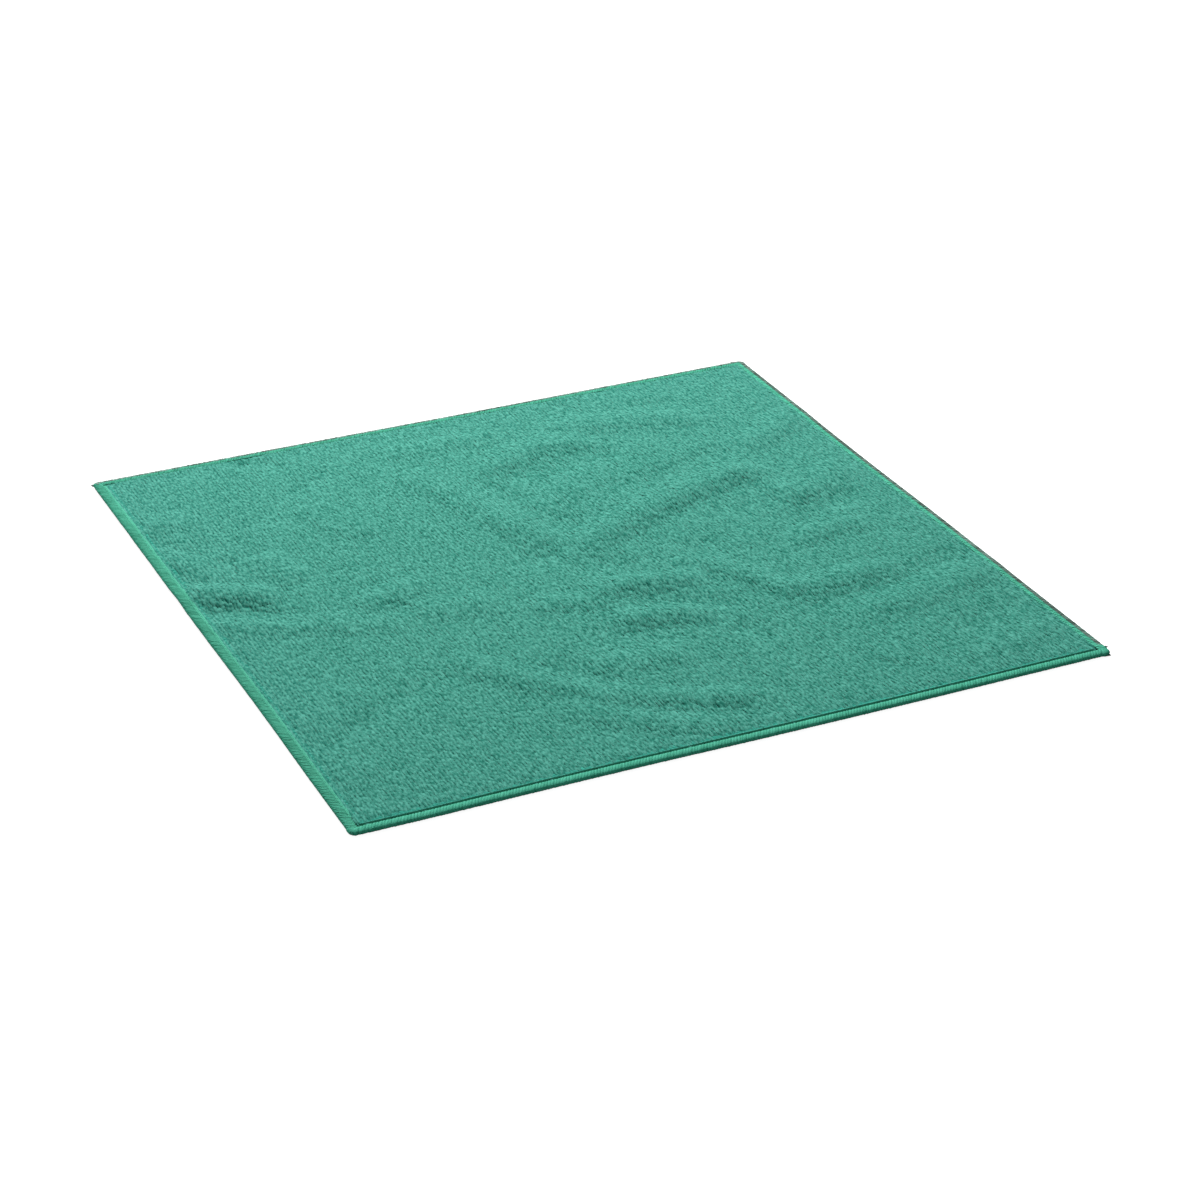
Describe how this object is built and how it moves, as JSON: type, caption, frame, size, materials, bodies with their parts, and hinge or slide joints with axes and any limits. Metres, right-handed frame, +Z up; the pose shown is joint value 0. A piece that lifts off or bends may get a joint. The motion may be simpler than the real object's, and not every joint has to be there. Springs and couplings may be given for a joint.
{
  "type": "microfibre cloth",
  "caption": "Square microfibre cleaning cloth of fine terry knit, overlocked along its edges, lying open and flat with low soft creases.",
  "frame": {"origin": "middle of the cloth's outline, on the surface it lies on", "axes": "+Z up through the cloth; the knit's wales run along Y; the front edge is at -Y and the right edge at +X"},
  "size_m": [0.32, 0.32, 0.0047],
  "materials": {
    "terry": "matte"
  },
  "bodies": {
    "root": {"cloth": "terry"}
  },
  "joints": []
}
